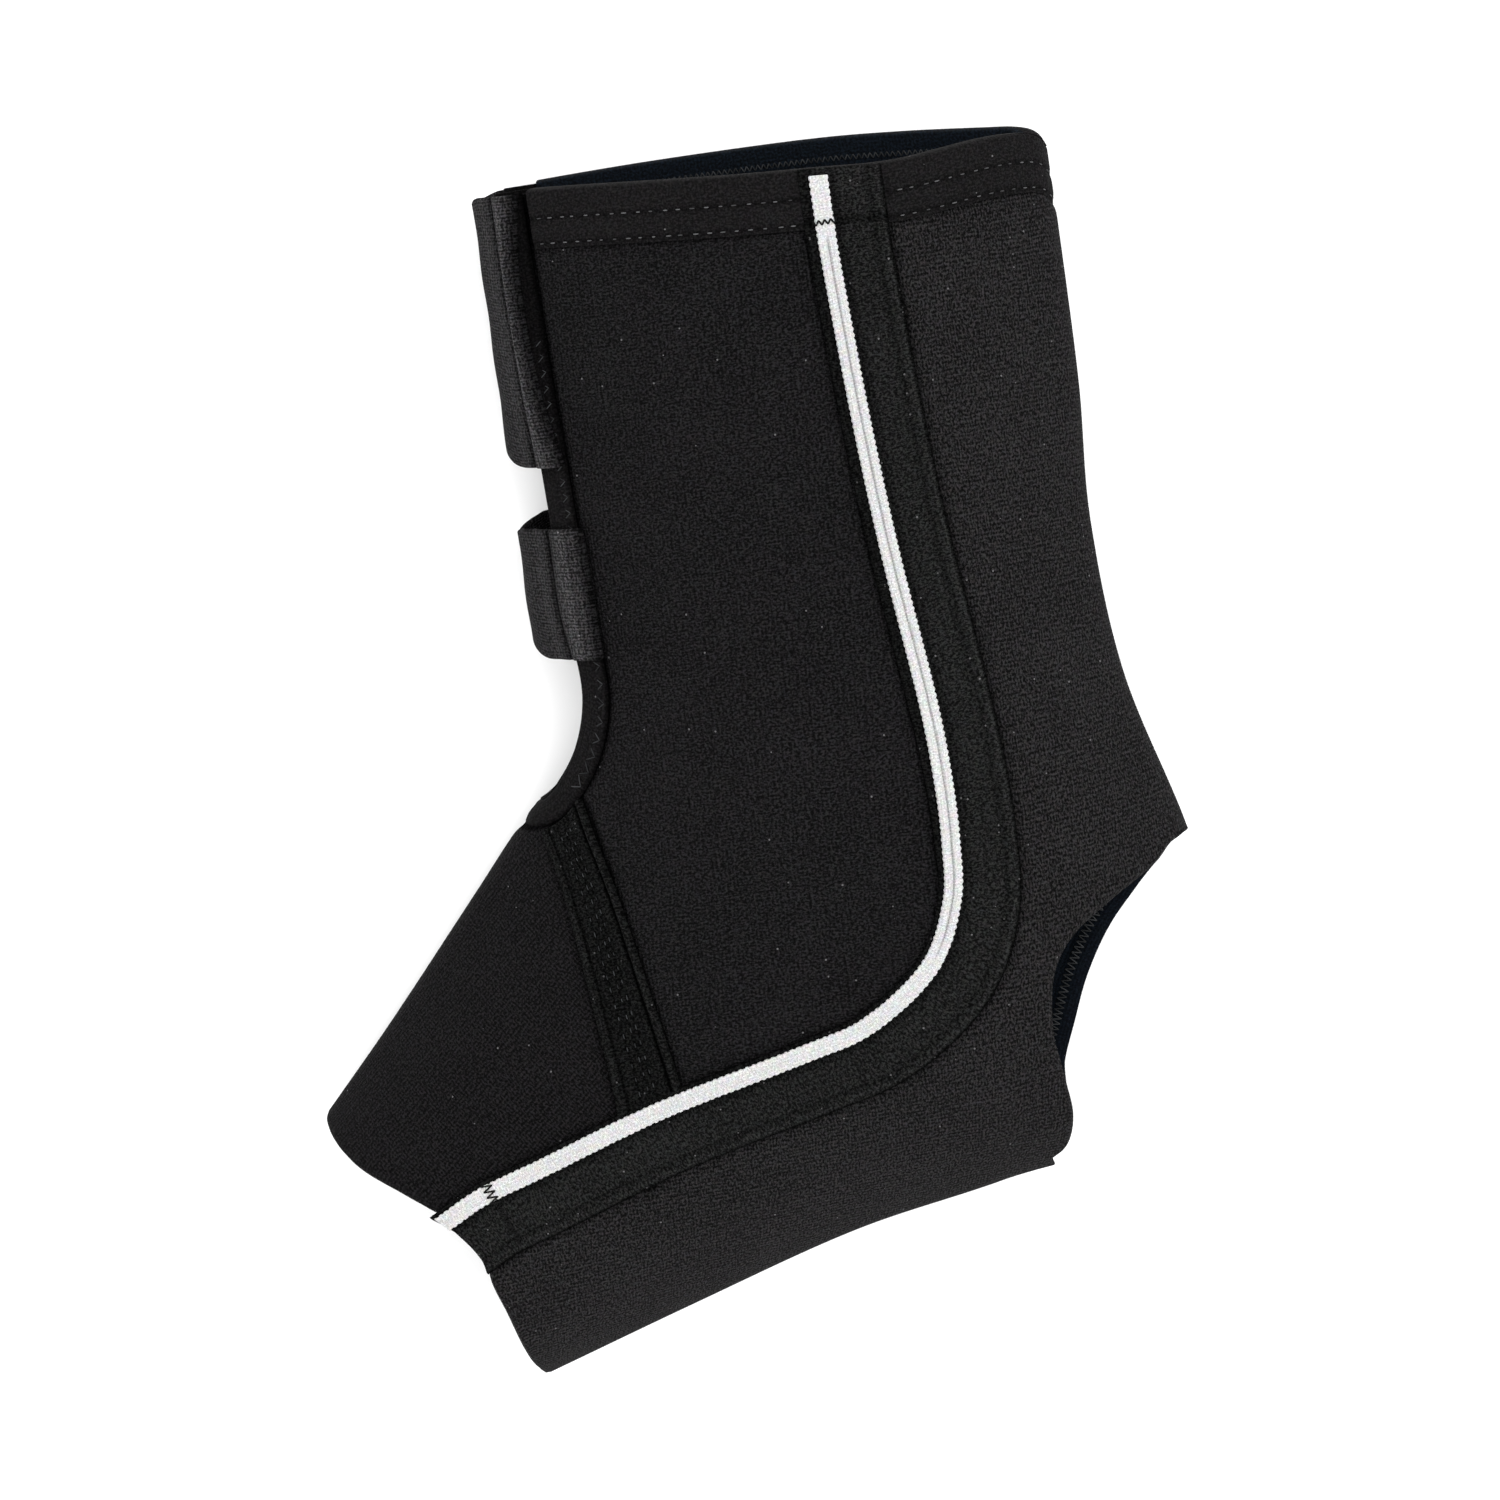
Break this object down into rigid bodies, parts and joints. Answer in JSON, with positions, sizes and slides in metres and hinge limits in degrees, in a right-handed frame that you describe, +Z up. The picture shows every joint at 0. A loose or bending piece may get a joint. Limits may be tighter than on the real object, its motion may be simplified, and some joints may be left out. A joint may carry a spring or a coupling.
{
  "type": "ankle brace",
  "caption": "Foam ankle brace with open toes and heel, a front slit bridged by elastic bands, black seam tape and white piping, lying on its side.",
  "frame": {"origin": "on the floor under the middle of the brace as it lies on its side", "axes": "+Y along the leg towards the top rim, -X towards the toes, +Z up from the floor"},
  "size_m": [0.1962, 0.2638, 0.0492],
  "materials": {
    "foam_cloth": "fine black knit bonded to foam",
    "black_tape": "smooth black knitted tape",
    "white_piping": "white corded braid",
    "elastic_webbing": "ribbed dark grey elastic"
  },
  "bodies": {
    "root": {"side_panel_near": "foam_cloth", "side_panel_far": "foam_cloth", "back_panel": "foam_cloth", "forefoot_panel": "foam_cloth", "seam_tape_near": "black_tape", "seam_tape_far": "black_tape", "trim_near": "white_piping", "trim_far": "white_piping", "instep_tape_near": "black_tape", "instep_tape_far": "black_tape", "hem_tape": "black_tape", "front_binding": "black_tape", "upper_band": "elastic_webbing", "lower_band": "elastic_webbing", "heel_facing": "black_tape"}
  },
  "joints": []
}
